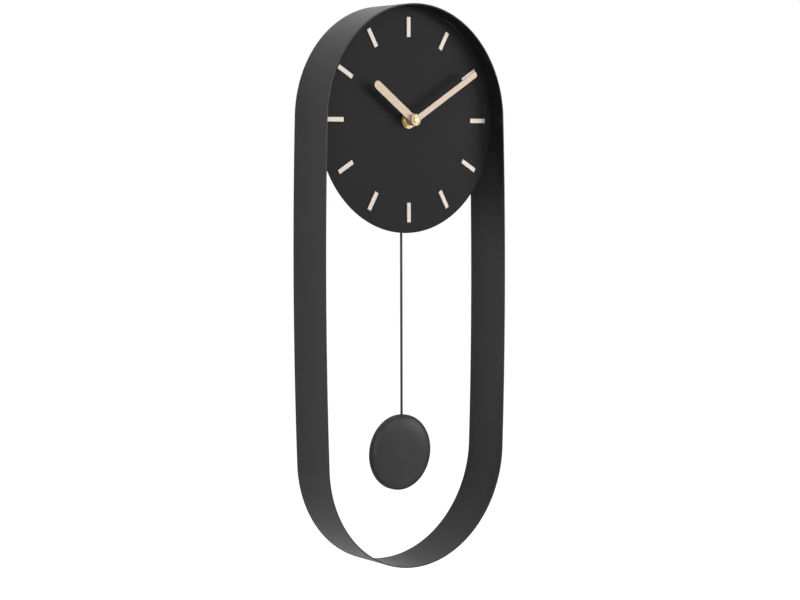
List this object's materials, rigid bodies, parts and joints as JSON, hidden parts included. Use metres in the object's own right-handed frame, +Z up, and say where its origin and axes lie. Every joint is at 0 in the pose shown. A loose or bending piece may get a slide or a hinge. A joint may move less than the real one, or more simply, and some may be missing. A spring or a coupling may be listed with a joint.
{
  "type": "pendulum wall clock",
  "caption": "Wall clock: a deep black steel band bent into a tall oval holds a round dial with baton markers, two hands and a quartz movement that swings a long pendulum with a disc bob.",
  "frame": {"origin": "on the wall plane, on the back face of the hanger plate, just below its keyhole", "axes": "+X to the viewer's right, +Z up, +Y into the wall, so the dial faces -Y"},
  "size_m": [0.2078, 0.046, 0.5],
  "materials": {
    "black_powder_coat": "satin black powder coat on steel",
    "dial_black": "matt black paint on sheet steel",
    "champagne_aluminium": "satin champagne anodised",
    "brass": "turned and lacquered",
    "zinc_steel": "zinc plated",
    "magnet_steel": "sintered magnet",
    "black_plastic": "moulded ABS",
    "white_plastic": "moulded acetal",
    "circuit_green": "resist on glass epoxy",
    "copper_wire": "enamelled copper winding",
    "battery_jacket": "plain lacquered jacket",
    "rubber": "moulded"
  },
  "bodies": {
    "case": {"case_band": "black_powder_coat", "hanger_plate": "black_powder_coat", "dial_plate": "dial_black", "dial_bracket_left": "black_powder_coat", "dial_bracket_right": "black_powder_coat", "dial_bracket_top": "black_powder_coat", "dial_nut_left": "zinc_steel", "dial_nut_right": "zinc_steel", "dial_nut_top": "zinc_steel", "hour_marker_01": "champagne_aluminium", "hour_marker_02": "champagne_aluminium", "hour_marker_03": "champagne_aluminium", "hour_marker_04": "champagne_aluminium", "hour_marker_05": "champagne_aluminium", "hour_marker_06": "champagne_aluminium", "hour_marker_07": "champagne_aluminium", "hour_marker_08": "champagne_aluminium", "hour_marker_09": "champagne_aluminium", "hour_marker_10": "champagne_aluminium", "hour_marker_11": "champagne_aluminium", "hour_marker_12": "champagne_aluminium", "fixing_nut": "brass", "fixing_washer": "brass", "cushion_washer": "rubber", "movement_housing": "black_plastic", "movement_cover": "black_plastic", "train_bridge": "white_plastic", "battery": "battery_jacket", "battery_contact_plus": "zinc_steel", "battery_contact_minus": "zinc_steel", "circuit_board": "circuit_green", "quartz_crystal": "zinc_steel", "coil_core": "zinc_steel", "motor_coil": "copper_wire", "stator": "zinc_steel", "pendulum_pivot_pin": "zinc_steel", "drive_coil": "copper_wire"},
    "minute_hand": {"minute_hand": "champagne_aluminium", "hand_nut": "brass", "centre_wheel": "white_plastic"},
    "hour_hand": {"hour_hand": "champagne_aluminium", "hour_wheel": "white_plastic"},
    "minute_wheel": {"minute_wheel": "white_plastic"},
    "setting_knob": {"setting_knob": "black_plastic"},
    "third_wheel": {"third_wheel": "white_plastic"},
    "fourth_wheel": {"fourth_wheel": "white_plastic"},
    "fifth_wheel": {"fifth_wheel": "white_plastic"},
    "rotor": {"rotor": "magnet_steel"},
    "pendulum": {"swing_arm": "white_plastic", "drive_magnet": "magnet_steel", "pendulum_rod": "black_powder_coat", "bob_front_shell": "black_powder_coat", "bob_back_shell": "black_powder_coat"}
  },
  "joints": [
    {"name": "minute_hand_turn", "type": "hinge", "parent": "case", "child": "minute_hand", "pos_m": [0, 0, -0.0734], "axis": [0, 1, 0], "continuous": true},
    {"name": "hour_hand_turn", "type": "hinge", "parent": "case", "child": "hour_hand", "pos_m": [0, 0, -0.0734], "axis": [0, 1, 0], "continuous": true},
    {"name": "minute_wheel_turn", "type": "hinge", "parent": "case", "child": "minute_wheel", "pos_m": [-0.00866, 0, -0.0684], "axis": [0, 1, 0], "continuous": true},
    {"name": "setting_knob_turn", "type": "hinge", "parent": "case", "child": "setting_knob", "pos_m": [-0.01884, 0, -0.06469], "axis": [0, 1, 0], "continuous": true},
    {"name": "third_wheel_turn", "type": "hinge", "parent": "case", "child": "third_wheel", "pos_m": [0.0054, 0, -0.06405], "axis": [0, 1, 0], "continuous": true},
    {"name": "fourth_wheel_turn", "type": "hinge", "parent": "case", "child": "fourth_wheel", "pos_m": [0.01498, 0, -0.06754], "axis": [0, 1, 0], "continuous": true},
    {"name": "fifth_wheel_turn", "type": "hinge", "parent": "case", "child": "fifth_wheel", "pos_m": [0.0195, 0, -0.07532], "axis": [0, 1, 0], "continuous": true},
    {"name": "rotor_turn", "type": "hinge", "parent": "case", "child": "rotor", "pos_m": [0.01293, 0, -0.07773], "axis": [0, 1, 0], "continuous": true},
    {"name": "pendulum_swing", "type": "hinge", "parent": "case", "child": "pendulum", "pos_m": [0, 0, -0.11444], "axis": [0, 1, 0], "range_deg": [-8, 8]}
  ],
  "couplings": [
    {"joint": "hour_hand_turn", "follows": "minute_hand_turn", "ratio": 0.083333},
    {"joint": "minute_wheel_turn", "follows": "minute_hand_turn", "ratio": -0.33333},
    {"joint": "setting_knob_turn", "follows": "minute_hand_turn", "ratio": 0.75},
    {"joint": "third_wheel_turn", "follows": "minute_hand_turn", "ratio": -8},
    {"joint": "fourth_wheel_turn", "follows": "minute_hand_turn", "ratio": 60},
    {"joint": "fifth_wheel_turn", "follows": "minute_hand_turn", "ratio": -300},
    {"joint": "rotor_turn", "follows": "minute_hand_turn", "ratio": 1800}
  ]
}
